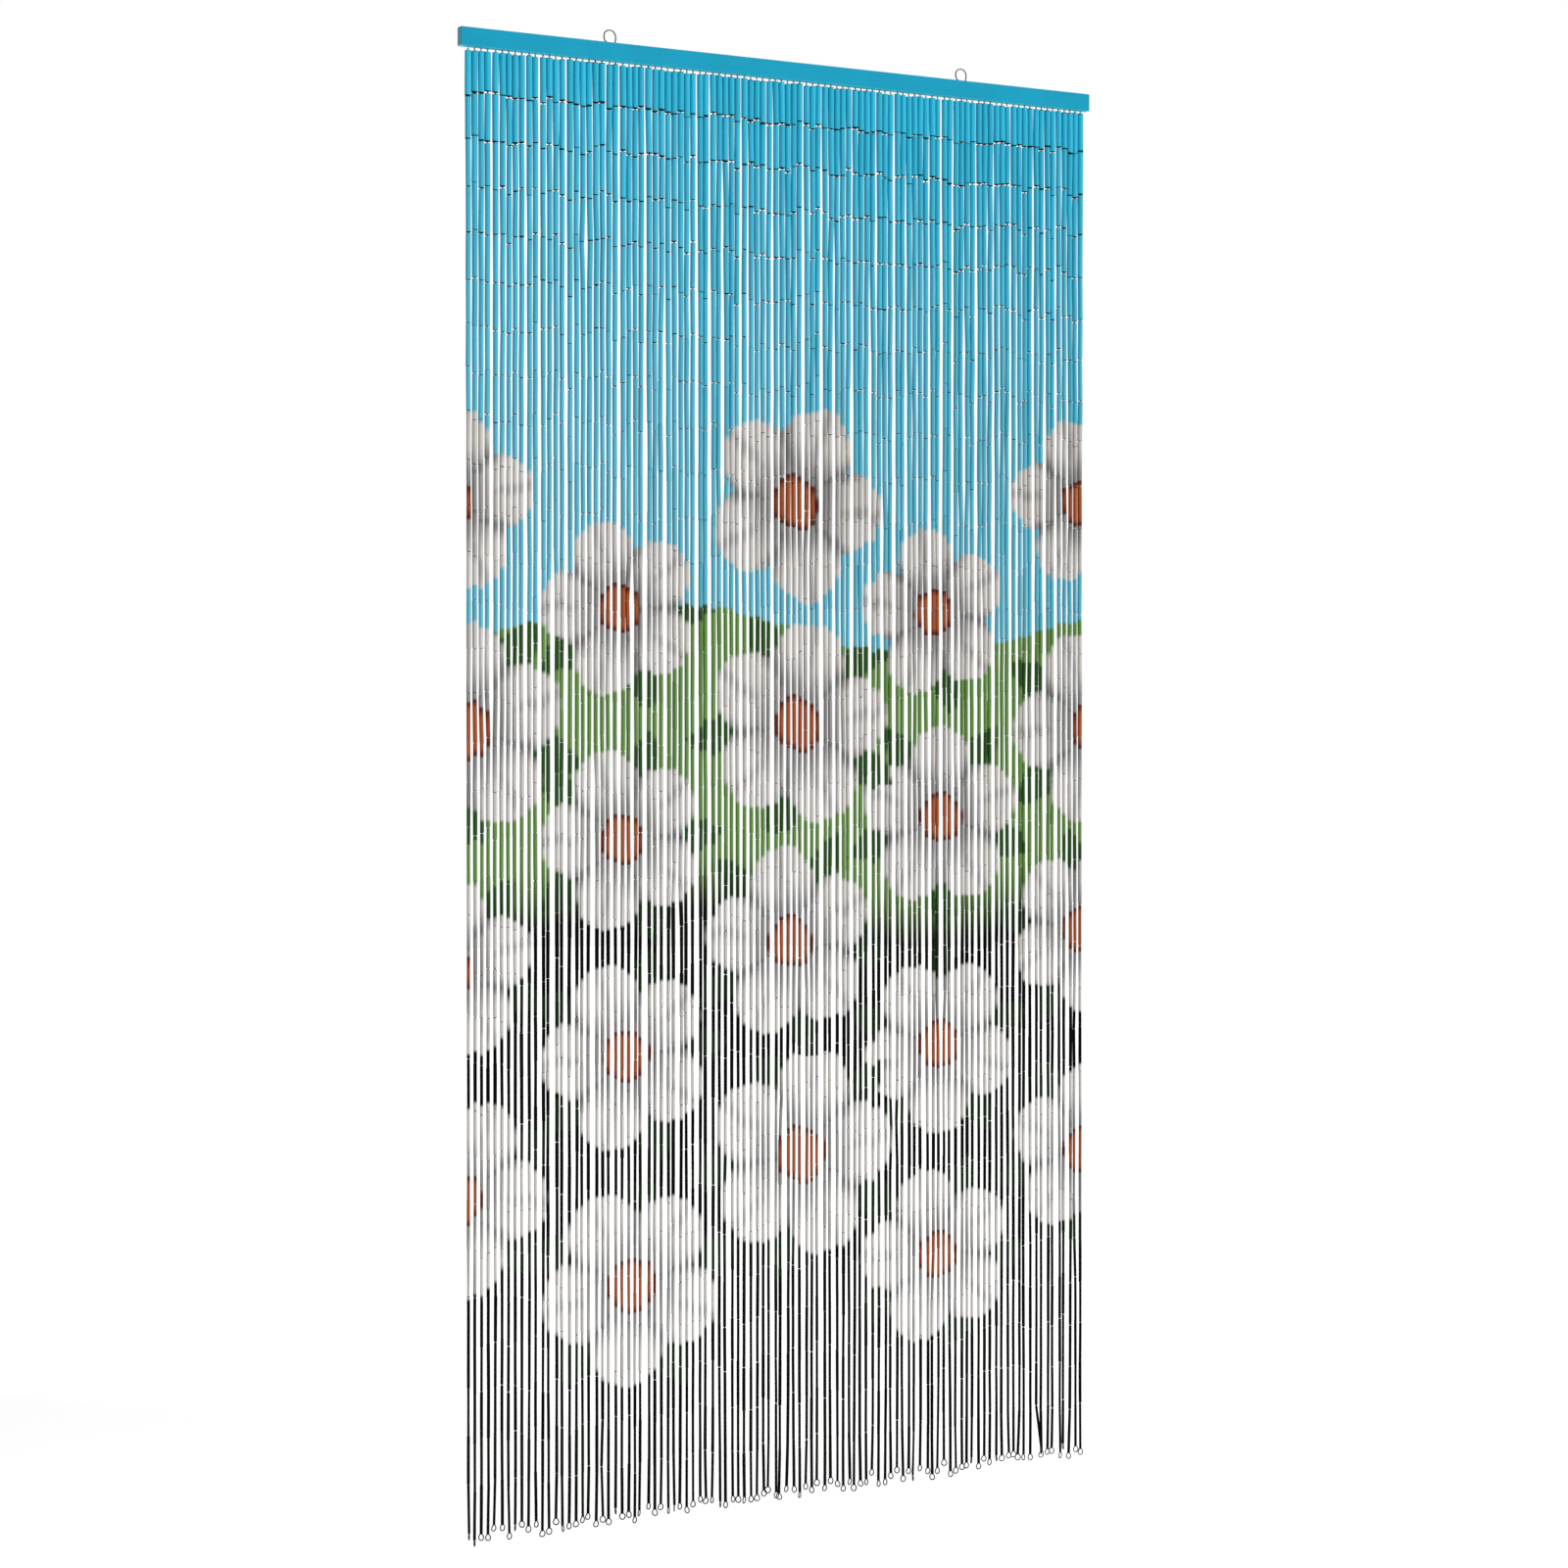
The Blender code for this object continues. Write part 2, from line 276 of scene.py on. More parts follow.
def folded_arm(t, angle, reach, start):
    """Distances along and beside the nearest of the blossom's arms, when they are folded into one."""
    half_turn = math.pi / PETALS
    angle = add(t, "Math", [angle, start], operation="ADD")
    angle = add(t, "Math", [angle, half_turn, -half_turn], operation="WRAP")
    along = add(t, "Math", [angle], operation="COSINE")
    along = add(t, "Math", [along, reach], operation="MULTIPLY")
    beside = add(t, "Math", [angle], operation="SINE")
    beside = add(t, "Math", [beside, reach], operation="MULTIPLY")
    beside = add(t, "Math", [beside], operation="ABSOLUTE")
    return angle, along, beside


def paint_blossoms(t, x, z, half, painted, leaf_colour, meadow):
    """Paints one of the two lattices of the half-drop repeat, 0 or 1, over what is painted already."""
    cell_width = 2 * BLOSSOM_COLUMN
    across = add(t, "Math", [x, 1 / cell_width, half / 2], operation="MULTIPLY_ADD")
    down = add(t, "Math", [z, 1 / BLOSSOM_ROW, half / 2], operation="MULTIPLY_ADD")
    column = add(t, "Math", [across], operation="FLOOR")
    row = add(t, "Math", [down], operation="FLOOR")
    cell = add(t, "CombineXYZ", [column, row, half])
    own = add(t, "TexWhiteNoise", {"Vector": cell}, noise_dimensions="3D")
    nudge = add(t, "SeparateXYZ", [own.outputs["Color"]])
    u = add(t, "Math", [across], operation="FRACT")
    u = add(t, "Math", [u, cell_width, -cell_width / 2], operation="MULTIPLY_ADD")
    v = add(t, "Math", [down], operation="FRACT")
    v = add(t, "Math", [v, BLOSSOM_ROW, -BLOSSOM_ROW / 2], operation="MULTIPLY_ADD")
    middle = add(t, "Math", [z, v], operation="SUBTRACT")
    above = add(t, "Math", [middle, BLOSSOM_LOWEST], operation="GREATER_THAN")
    below = add(t, "Math", [middle, BLOSSOM_HIGHEST], operation="LESS_THAN")
    planted = add(t, "Math", [above, below], operation="MULTIPLY")
    nudge_x = [nudge.outputs["X"], PLACE_SPREAD, -PLACE_SPREAD / 2]
    nudge_x = add(t, "Math", nudge_x, operation="MULTIPLY_ADD")
    u = add(t, "Math", [u, nudge_x], operation="SUBTRACT")
    nudge_z = [nudge.outputs["Y"], PLACE_SPREAD, -PLACE_SPREAD / 2]
    nudge_z = add(t, "Math", nudge_z, operation="MULTIPLY_ADD")
    v = add(t, "Math", [v, nudge_z], operation="SUBTRACT")

    # Each blossom has its own size and turn
    size = add(t, "Math", [own.outputs["Value"], SIZE_RANGE, SMALLEST_BLOSSOM], operation="MULTIPLY_ADD")
    turn = add(t, "Math", [own.outputs["Value"], BLOSSOM_TURN], operation="MULTIPLY")
    reach = add(t, "CombineXYZ", [u, v, 0.0])
    reach = add(t, "VectorMath", [reach], operation="LENGTH").outputs["Value"]
    reach = add(t, "Math", [reach, size], operation="DIVIDE")
    angle = add(t, "Math", [v, u], operation="ARCTAN2")
    angle = add(t, "Math", [angle, turn], operation="ADD")

    # Leaf tips between the petals
    _, along, beside = folded_arm(t, angle, reach, math.pi / PETALS)
    along = add(t, "Math", [along, LEAF_MIDDLE], operation="SUBTRACT")
    along = squared_ratio(t, along, LEAF_HALF_LENGTH)
    leaf = add(t, "Math", [beside, 1 / LEAF_HALF_WIDTH, along], operation="MULTIPLY_ADD")
    leaf = add(t, "MapRange", [leaf, *LEAF_EDGE], interpolation_type="SMOOTHSTEP")
    leaf = add(t, "Math", [leaf, planted], operation="MULTIPLY")
    leaf = add(t, "Math", [leaf, meadow], operation="MULTIPLY")
    painted = add(t, "Mix", [leaf, painted, leaf_colour], data_type="RGBA")

    # Petals, with airbrushed shade down the crease, round the eye and where two petals meet
    folded, along, beside = folded_arm(t, angle, reach, 0.0)
    out = add(t, "Math", [along, PETAL_MIDDLE], operation="SUBTRACT")
    out = squared_ratio(t, out, PETAL_HALF_LENGTH)
    wide = squared_ratio(t, beside, PETAL_HALF_WIDTH)
    petal = add(t, "Math", [out, wide], operation="ADD")
    petal = add(t, "MapRange", [petal, *PETAL_EDGE], interpolation_type="SMOOTHSTEP")
    petal = add(t, "Math", [petal, planted], operation="MULTIPLY")
    crease = add(t, "MapRange", [beside, *CREASE_SHADE], interpolation_type="SMOOTHSTEP")
    deep = add(t, "MapRange", [along, *DEEP_SHADE], interpolation_type="SMOOTHSTEP")
    flank = add(t, "Math", [folded], operation="ABSOLUTE")
    flank = add(t, "MapRange", [flank, *FLANK_SHADE], interpolation_type="SMOOTHSTEP")
    shade = add(t, "Math", [crease, deep], operation="MAXIMUM")
    shade = add(t, "Math", [shade, flank], operation="MAXIMUM")
    petal_colour = add(t, "Mix", [shade, linear("#C9C5C0"), linear("#7A7979")], data_type="RGBA")
    painted = add(t, "Mix", [petal, painted, petal_colour], data_type="RGBA")

    # The blossom's eye
    rim = add(t, "MapRange", [reach, EYE_RIM, EYE_OF_BLOSSOM], interpolation_type="SMOOTHSTEP")
    eye_edge = [reach, EYE_OF_BLOSSOM + EYE_EDGE, EYE_OF_BLOSSOM - EYE_EDGE]
    eye = add(t, "MapRange", eye_edge, interpolation_type="SMOOTHSTEP")
    eye = add(t, "Math", [eye, planted], operation="MULTIPLY")
    eye_colour = add(t, "Mix", [rim, linear("#A75835"), linear("#56201A")], data_type="RGBA")
    return add(t, "Mix", [eye, painted, eye_colour], data_type="RGBA")


def blossom_design(t):
    """Colour of a generic repeat of five-petalled blossoms over sky, meadow and dark bands."""
    place = add(t, "Attribute", attribute_name="paint_place")
    place = add(t, "SeparateXYZ", [place.outputs["Vector"]])
    x, z = place.outputs["X"], place.outputs["Z"]

    # Sky, meadow and dark bands
    swell = add(t, "Math", [x, 2 * math.pi / HILL_LENGTH], operation="MULTIPLY")
    swell = add(t, "Math", [swell], operation="SINE")
    swell = add(t, "Math", [swell, HILL_HEIGHT, z], operation="MULTIPLY_ADD")
    meadow_edge = [swell, MEADOW_LINE + MEADOW_EDGE, MEADOW_LINE - MEADOW_EDGE]
    meadow = add(t, "MapRange", meadow_edge, interpolation_type="SMOOTHSTEP")
    dark_edge = [swell, DARK_LINE + DARK_FADE, DARK_LINE - DARK_FADE]
    dark = add(t, "MapRange", dark_edge, interpolation_type="SMOOTHSTEP")
    foliage = add(t, "CombineXYZ", [x, z, 0.0])
    foliage = add(t, "TexNoise", {"Vector": foliage, "Scale": FOLIAGE_SCALE, "Detail": 1.0})
    foliage = add(t, "MapRange", [foliage, *FOLIAGE_EDGE], interpolation_type="SMOOTHSTEP")
    foliage = add(t, "Mix", [foliage, linear("#020202"), linear("#091006")], data_type="RGBA")
    paleness = add(t, "MapRange", [z, *SKY_PALES])
    sky = add(t, "Mix", [paleness, linear("#35BAD9"), linear("#5CB4CA")], data_type="RGBA")
    ground = add(t, "Mix", [meadow, sky, linear("#668F48")], data_type="RGBA")
    ground = add(t, "Mix", [dark, ground, foliage], data_type="RGBA")
    leaf_colour = add(t, "Mix", [dark, linear("#2C5422"), linear("#152C10")], data_type="RGBA")
    for half in (0.0, 1.0):
        ground = paint_blossoms(t, x, z, half, ground, leaf_colour, meadow)
    return ground


# Finishes

def sprayed_cane():
    """Water-based paint sprayed on bamboo cane: the hard, smooth skin keeps a soft gloss, and long
    fibres show through as faint streaks, while each tube took a little more or less paint."""
    finish, t, shader = new_finish("sprayed_cane")
    design = blossom_design(t)

    # Each tube is a little darker or lighter than the paint
    tone = add(t, "Attribute", attribute_name="tone")
    tone = add(t, "MapRange", [tone.outputs["Fac"], 0.0, 1.0, 0.91, 1.06])

    # Fibres: 1 mm wide, coarser than real ones so that they show, and 60 mm long
    places = add(t, "TexCoord").outputs["Object"]
    stretched = add(t, "Mapping", {"Vector": places, "Scale": (1000.0, 1000.0, 16.0)})
    fibres = add(t, "TexNoise", {"Vector": stretched, "Scale": 1.0, "Detail": 3.0, "Roughness": 0.6})
    streak = add(t, "MapRange", [fibres, 0.25, 0.75, 0.92, 1.05])
    value = add(t, "Math", [tone, streak], operation="MULTIPLY")
    coloured = add(t, "HueSaturation", {"Value": value, "Color": design})

    # A dark band round each end, frayed by handling every millimetre or so: partly the saw's unpainted
    # edge, partly painted shade where the tubes meet at the joints
    end = add(t, "Attribute", attribute_name="from_end").outputs["Fac"]
    edge = add(t, "Attribute", attribute_name="bare_and_shaded_edge").outputs["Fac"]
    fray = add(t, "TexNoise", {"Vector": places, "Scale": 900.0, "Detail": 2.0})
    fray = add(t, "MapRange", [fray, 0.3, 0.7, 0.6, 1.4])
    fray = add(t, "Math", [fray, edge], operation="MULTIPLY")
    inner = add(t, "Math", [fray, BARE_AND_SHADED_FADE], operation="MULTIPLY")
    bare_and_shaded = add(t, "MapRange", [end, inner, fray])
    coloured = add(t, "Mix", [bare_and_shaded, coloured, linear("#14171A")], data_type="RGBA")

    roughness = add(t, "MapRange", [fibres, 0.3, 0.7, 0.50, 0.64])
    bump = add(t, "Bump", {"Height": fibres, "Strength": 0.35, "Distance": 0.00015})
    shader.inputs["Specular IOR Level"].default_value = PAINT_GLOSS
    t.links.new(result_of(coloured), shader.inputs["Base Color"])
    t.links.new(roughness.outputs["Result"], shader.inputs["Roughness"])
    t.links.new(bump.outputs["Normal"], shader.inputs["Normal"])
    return finish


def sawn_cane():
    """Sawn end of bamboo, dark grey with dust and overspray and darkened further as painted shade where
    the tubes' ends meet; its bore nearly black.
    """
    finish, t, shader = new_finish("sawn_cane")
    places = add(t, "TexCoord").outputs["Object"]

    # Pores 0.4 mm apart, a little coarser than real ones
    pores = add(t, "TexNoise", {"Vector": places, "Scale": 2500.0, "Detail": 2.0})

    # Painted shade in the bore: it darkens over its first 1.2 mm
    end = add(t, "Attribute", attribute_name="from_end")
    depth = add(t, "MapRange", [end.outputs["Fac"], 0.0, -0.0012])
    # The cut face's grey is darkened to near black as painted shade
    end_and_painted_shade = add(t, "Mix", [pores, linear("#0C0E10"), linear("#1D1F20")], data_type="RGBA")
    end_and_painted_shade = add(t, "Mix", [depth, end_and_painted_shade, linear("#040303")], data_type="RGBA")
    t.links.new(result_of(end_and_painted_shade), shader.inputs["Base Color"])
    bump = add(t, "Bump", {"Height": pores, "Strength": 0.5, "Distance": 0.0002})
    t.links.new(bump.outputs["Normal"], shader.inputs["Normal"])
    shader.inputs["Roughness"].default_value = 0.85
    return finish


def annealed_wire():
    """Annealed iron wire, drawn and left bare: a dull grey metal, browned in patches by handling."""
    finish, t, shader = new_finish("annealed_iron_wire")
    places = add(t, "TexCoord").outputs["Object"]

    # Brown patches 4 to 5 mm long
    bloom = add(t, "TexNoise", {"Vector": places, "Scale": 220.0, "Detail": 3.0})
    patch = add(t, "MapRange", [bloom, 0.40, 0.62])
    colour = add(t, "Mix", [patch, linear("#5E4C40"), linear("#3E2A1E")], data_type="RGBA")
    roughness = add(t, "MapRange", [bloom, 0.3, 0.7, 0.32, 0.60])
    t.links.new(result_of(colour), shader.inputs["Base Color"])
    t.links.new(roughness.outputs["Result"], shader.inputs["Roughness"])
    shader.inputs["Metallic"].default_value = 1.0
    return finish


def galvanised_wire():
    """Hot galvanised wire: a thick zinc coat dulled by pale oxide, so that it scatters most light."""
    finish, t, shader = new_finish("galvanised_wire")
    places = add(t, "TexCoord").outputs["Object"]

    # Blotches of oxide 2 mm across
    oxide = add(t, "TexNoise", {"Vector": places, "Scale": 500.0, "Detail": 3.0})
    colour = add(t, "Mix", [oxide, linear("#A9ABAA"), linear("#CBCDCC")], data_type="RGBA")
    roughness = add(t, "MapRange", [oxide, 0.3, 0.7, 0.50, 0.70])
    t.links.new(result_of(colour), shader.inputs["Base Color"])
    t.links.new(roughness.outputs["Result"], shader.inputs["Roughness"])
    shader.inputs["Metallic"].default_value = 0.3
    return finish


def zinc_plated_wire():
    """Zinc plated steel, barrel plated: gone dull and slightly milky, with fine handling marks."""
    finish, t, shader = new_finish("zinc_plated_steel_wire")
    places = add(t, "TexCoord").outputs["Object"]

    # Handling marks about 1 mm long
    marks = add(t, "TexNoise", {"Vector": places, "Scale": 900.0, "Detail": 4.0})
    colour = add(t, "Mix", [marks, linear("#6F6D6B"), linear("#8E8C8A")], data_type="RGBA")
    roughness = add(t, "MapRange", [marks, 0.3, 0.7, 0.46, 0.62])
    bump = add(t, "Bump", {"Height": marks, "Strength": 0.15, "Distance": 0.0001})
    t.links.new(result_of(colour), shader.inputs["Base Color"])
    t.links.new(roughness.outputs["Result"], shader.inputs["Roughness"])
    t.links.new(bump.outputs["Normal"], shader.inputs["Normal"])
    shader.inputs["Metallic"].default_value = 1.0
    return finish


def satin_painted_pine():
    """Satin paint brushed on planed pine: an even film with faint grain along the rail, dull and
    paler where the end grain drank it, and rubbed thin along the arrises."""
    finish, t, shader = new_finish("satin_painted_pine")
    places = add(t, "TexCoord").outputs["Object"]

    # Grain lines 1.5 mm apart and about 200 mm long, under paint that is uneven over some 70 mm
    stretched = add(t, "Mapping", {"Vector": places, "Scale": (5.0, 650.0, 650.0)})
    grain = add(t, "TexNoise", {"Vector": stretched, "Scale": 1.0, "Detail": 4.0, "Roughness": 0.55})
    cloudy = add(t, "TexNoise", {"Vector": places, "Scale": 14.0, "Detail": 2.0})
    film = add(t, "Mix", [grain, linear("#1698B9"), linear("#1EA0C1")], data_type="RGBA")
    cloud = add(t, "MapRange", [cloudy, 0.3, 0.7, 0.95, 1.04])
    film = add(t, "HueSaturation", {"Value": cloud, "Color": film})

    # Painted light: the underside is painted paler, as if lit from below, to lift the shade under the
    # rail
    normal = add(t, "NewGeometry").outputs["Normal"]
    painted_underside_light = add(t, "SeparateXYZ", [normal]).outputs["Z"]
    painted_underside_light = add(t, "MapRange", [painted_underside_light, -0.3, -0.6])
    film = add(t, "Mix", [painted_underside_light, film, linear("#48DEFA")], data_type="RGBA")

    # The sawn ends are paler, and the arrises are rubbed in spots about 6 mm long
    facing = add(t, "VectorMath", [normal], operation="ABSOLUTE")
    facing = add(t, "SeparateXYZ", [facing])
    end_grain = add(t, "MapRange", [facing.outputs["X"], 0.85, 0.95])
    film = add(t, "Mix", [end_grain, film, linear("#6FA9BC")], data_type="RGBA")
    flattest = add(t, "Math", [facing.outputs["X"], facing.outputs["Y"]], operation="MAXIMUM")
    flattest = add(t, "Math", [flattest, facing.outputs["Z"]], operation="MAXIMUM")
    arris = add(t, "MapRange", [flattest, 0.92, 0.80])
    rub = add(t, "TexNoise", {"Vector": places, "Scale": 160.0, "Detail": 3.0})
    rub = add(t, "MapRange", [rub, 0.42, 0.66, 0.05, 0.50])
    worn = add(t, "Math", [arris, rub], operation="MULTIPLY")
    film = add(t, "Mix", [worn, film, linear("#5BA3B9")], data_type="RGBA")

    roughness = add(t, "MapRange", [grain, 0.3, 0.7, 0.45, 0.58])
    bump = add(t, "Bump", {"Height": grain, "Strength": 0.25, "Distance": 0.0002})
    t.links.new(result_of(film), shader.inputs["Base Color"])
    shader.inputs["Specular IOR Level"].default_value = PAINT_GLOSS
    t.links.new(roughness.outputs["Result"], shader.inputs["Roughness"])
    t.links.new(bump.outputs["Normal"], shader.inputs["Normal"])
    return finish


def matt_floor():
    """A plain pale floor, lifted towards white where the camera sees it, as on a lit studio sweep."""
    finish, t, shader = new_finish("matt_floor")
    shader.inputs["Base Color"].default_value = linear("#AFAFAE")
    shader.inputs["Roughness"].default_value = 1.0
    shader.inputs["Specular IOR Level"].default_value = 0.0
    shader.inputs["Emission Color"].default_value = linear("#FFFFFF")
    seen = add(t, "LightPath").outputs["Is Camera Ray"]
    lift = add(t, "Math", [seen, FLOOR_LIFT - FLOOR_GLOW, FLOOR_GLOW], operation="MULTIPLY_ADD")
    t.links.new(lift.outputs["Value"], shader.inputs["Emission Strength"])
    return finish


# Strands, read from the part

class Strand:
    """One hanging string: the sections of its CAD rod, and where its wire loop is."""

    def __init__(self, corners):
        """corners are the rod's corners below the hanger wire's root, top first."""
        cut = CORNERS * (CANE_SECTIONS + 2)  # the wire's lower end, the cane's sections and the neck
        sections = corners[:cut].reshape(-1, CORNERS, 3)
        middles = sections.mean(axis=1)
        self.axis = middles[1:-1]
        self.axis[0, 2] = middles[0, 2]  # the first tube starts where the hanger wire ends
        self.thickness = np.ptp(sections[1:-1, :, 0], axis=1)
        loop = corners[cut:]
        self.lowest = loop[:, 2].min()
        spread = loop[:, :2] - loop[:, :2].mean(axis=0)
        self.loop_across = np.array([*np.linalg.svd(spread)[2][0], 0.0])

    def at(self, heights):
        """x, y and thickness of the cane at each height."""
        down = -self.axis[:, 2]
        return [np.interp(-heights, down, v) for v in (self.axis[:, 0], self.axis[:, 1], self.thickness)]


def read_strands():
    """All strands, left to right."""
    strands = []
    for bank in range(BANK_COUNT):
        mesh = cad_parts[f"strand_bank_{bank + 1}"].data
        points = np.array([vertex.co for vertex in mesh.vertices])
        corners, merged = np.unique(points.round(WELD_DIGITS), axis=0, return_inverse=True)
        edges = merged.ravel()[np.array([edge.vertices for edge in mesh.edges])]
        hanging = corners[:, 2] < rail_low.z - EYE_INSIDE
        edges = edges[hanging[edges].all(axis=1)]

        # Corners that edges join are one body, named by its lowest corner number
        body = np.arange(len(corners))
        for _ in range(len(corners)):
            lowest = body[edges].min(axis=1)
            spread = body.copy()
            np.minimum.at(spread, edges, lowest[:, None])
            if (spread == body).all():
                break
            body = spread
        rods = [corners[body == each] for each in np.unique(body[hanging])]
        assert len(rods) == PER_BANK
        rods = [rod[np.argsort(-rod[:, 2], kind="stable")] for rod in rods]
        strands += [Strand(rod) for rod in sorted(rods, key=lambda rod: rod[:CORNERS, 0].mean())]
    return strands


def settle_side_by_side(chance, x, share, widest):
    """How far each joint hangs to one side, once neighbours have clung together or made room."""
    count = len(x)
    odds = np.interp(share[:-1], CLING_FADES, CLING_ODDS)
    clinging = chance.uniform(0, 1, odds.shape) < odds
    for row in range(1, clinging.shape[1]):
        lasts = chance.uniform(0, 1, count - 1) < CLING_LASTS
        clinging[lasts, row] = clinging[lasts, row - 1]
    reach = np.interp(share, CLING_FADES, CLING_REACH)
    bends = chance.uniform(-LEAN, LEAN, (count, LEAN_LEVELS))
    levels = np.linspace(0, 1, LEAN_LEVELS)
    lean = np.array([np.interp(own, levels, bend) for own, bend in zip(share, bends)])
    kink = chance.uniform(-1, 1, share.shape) * np.interp(share, CLING_FADES, KINK)
    for step in range(SETTLING_STEPS):
        room = np.diff(x + lean, axis=0) - widest[:-1] - widest[1:] - CLING_GAP
        drawn = clinging & (step < CLINGING_STEPS)
        pull = np.where(drawn, room, np.minimum(room, 0.0)) * SETTLING_PACE
        lean[:-1] += pull
        lean[1:] -= pull
        if step < STRAIGHTENING_STEPS:
            straight = (lean[:, :-2] + lean[:, 2:]) / 2
            lean[:, 1:-1] += (straight - lean[:, 1:-1]) * STIFFNESS
        if step == STRAIGHTENING_STEPS:
            lean += kink
        if step < CLINGING_STEPS:
            lean = np.clip(lean, -reach, reach)
    return lean


def hang_tubes(strands):
    """Cuts every strand into tubes: their tops, feet, radii and the joints between them."""
    chance = np.random.default_rng(HANGING_SEED)
    count = len(strands)
    lengths = 1 + chance.uniform(-LENGTH_SPREAD, LENGTH_SPREAD, (count, TUBES_PER_STRAND))
    lengths[:, 0] *= FIRST_TUBE
    share = np.c_[np.zeros(count), np.cumsum(lengths, axis=1)] / lengths.sum(axis=1, keepdims=True)
    high, low = (np.array([strand.axis[end, 2] for strand in strands])[:, None] for end in (0, -1))
    heights = high + (low - high) * share
    along_rods = [strand.at(own) for strand, own in zip(strands, heights)]
    x, y, thickness = np.moveaxis(np.array(along_rods), 1, 0)

    # A tube's radius is half the mean thickness of the rod at its two ends, more or less by chance
    radius = (thickness[:, :-1] + thickness[:, 1:]) / 4
    down = share[:, 1:]
    radius *= np.interp(down, FULLNESS_LEVELS, FULLNESS)
    radius *= 1 + np.interp(down, (0, 1), THICKNESS_SPREAD) * chance.uniform(-1, 1, radius.shape)
    taper = chance.uniform(-TAPER_SPREAD, TAPER_SPREAD, radius.shape)

    # The thicker of the two tubes that meet at each joint
    above, below = np.c_[radius[:, :1], radius], np.c_[radius, radius[:, -1:]]
    widest = np.maximum(above, below) * (1 + TAPER_SPREAD)

    lean = settle_side_by_side(chance, x, share, widest)
    depth = chance.uniform(-1, 1, share.shape) * np.interp(share, CLING_FADES, DEPTH_SWING)
    depth[:, 0] = 0.0
    depth[:, -1] += chance.uniform(-FOOT_SWING, FOOT_SWING, count)
    joints = np.stack([x + lean, y + depth, heights], axis=-1)
    joints[HOOKED_STRAND, -1] += HOOKED_BY

    largest = np.interp(share, GAP_LEVELS, LARGEST_GAP)
    gap = SMALLEST_GAP + chance.uniform(0, 1, share.shape) ** GAP_SKEW * (largest - SMALLEST_GAP)
    gap[:, [0, -1]] = 0.0
    play = chance.uniform(-1, 1, (2, *radius.shape, 3)) * (SLACK, DEPTH_SLACK, 0.0)
    tops, feet = joints[:, :-1] + play[0], joints[:, 1:] + play[1]
    tops[:, :, 2] -= gap[:, :-1] / 2
    feet[:, :, 2] += gap[:, 1:] / 2
    feet[:, -1, 2] -= LOOP_SEAT
    radii = np.stack([radius * (1 + taper), radius * (1 - taper)], axis=-1)
    return tops, feet, radii, joints


# Meshes

def loft(name, rings, ends, finishes, band_finishes=None, smooth_angle=math.pi):
    """One mesh of many like bodies, each skinned over its rings and closed on its two end points.

    rings has the shape (bodies, rings, sides, 3) and ends (bodies, 2, 3). band_finishes numbers the
    finish of each band between two rings; the closed ends take the last finish.
    """
    bodies, count, sides = rings.shape[:3]
    size = count * sides + 2
    points = np.concatenate([rings.reshape(bodies, -1, 3), ends], axis=1).reshape(-1, 3)
    ring = np.arange(count * sides).reshape(count, sides)
    after = np.roll(ring, -1, axis=1)
    quads = np.stack([ring[:-1], ring[1:], after[1:], after[:-1]], axis=-1).reshape(-1, 4)
    first = np.stack([ring[0], after[0], np.full(sides, size - 2)], axis=-1)
    last = np.stack([after[-1], ring[-1], np.full(sides, size - 1)], axis=-1)
    starts = np.arange(bodies)[:, None, None] * size
    quads = (quads + starts).reshape(-1, 4)
    fans = (np.concatenate([first, last]) + starts).reshape(-1, 3)
    mesh = bpy.data.meshes.new(name)
    mesh.from_pydata(points.tolist(), [], quads.tolist() + fans.tolist())
    for finish in finishes:
        mesh.materials.append(finish)
    if band_finishes is not None:
        bands = np.repeat(np.tile(band_finishes, bodies), sides)
        slots = np.r_[bands, np.full(len(fans), len(finishes) - 1)]
        mesh.polygons.foreach_set("material_index", slots.astype(np.int32))
    mesh.shade_smooth()
    if smooth_angle < math.pi:
        mesh.set_sharp_from_angle(angle=smooth_angle)
    piece = bpy.data.objects.new(name, mesh)
    bpy.context.scene.collection.objects.link(piece)
    return piece


def keep(mesh, name, kind, field, values):
    """Stores a value for each vertex, which the finishes read by name."""
    attribute = mesh.attributes.new(name, kind, "POINT")
    attribute.data.foreach_set(field, np.asarray(values, np.float32).ravel())


def unroll(mesh, bodies):
    """Lays each tube's skin out flat in its own cell of a map, so that a bake keeps the paint sharp."""
    columns = math.ceil(bodies / MAP_ROWS)
    cell = np.arange(bodies)
    corner = np.stack([cell // MAP_ROWS, cell % MAP_ROWS], axis=-1)[:, None, None, :]
    side = np.arange(TUBE_SIDES)
    down = np.array([place for *_, place in TUBE_RINGS])
    across = np.stack([side, side, side + 1, side + 1], axis=-1)[None]
    along = np.stack([down[:-1], down[1:], down[1:], down[:-1]], axis=-1)[:, None]
    quads = np.stack(np.broadcast_arrays(across / TUBE_SIDES, along), axis=-1).reshape(1, -1, 4, 2)
    across = np.stack([side, side + 1, side + 0.5], axis=-1) / TUBE_SIDES
    top = np.broadcast_to([down[0], down[0], 0.0], across.shape)
    foot = np.broadcast_to([down[-1], down[-1], 1.0], across.shape)
    top = np.stack([across, top], axis=-1)
    foot = np.stack([across[:, [1, 0, 2]], foot], axis=-1)
    corners = []
    for faces in (quads, np.concatenate([top, foot])[None]):
        faces = corner + MAP_MARGIN + faces * (1 - 2 * MAP_MARGIN)
        corners.append((faces / (columns, MAP_ROWS)).ravel())
    layer = mesh.uv_layers.new(name="OFBake")
    layer.uv.foreach_set("vector", np.concatenate(corners).astype(np.float32))


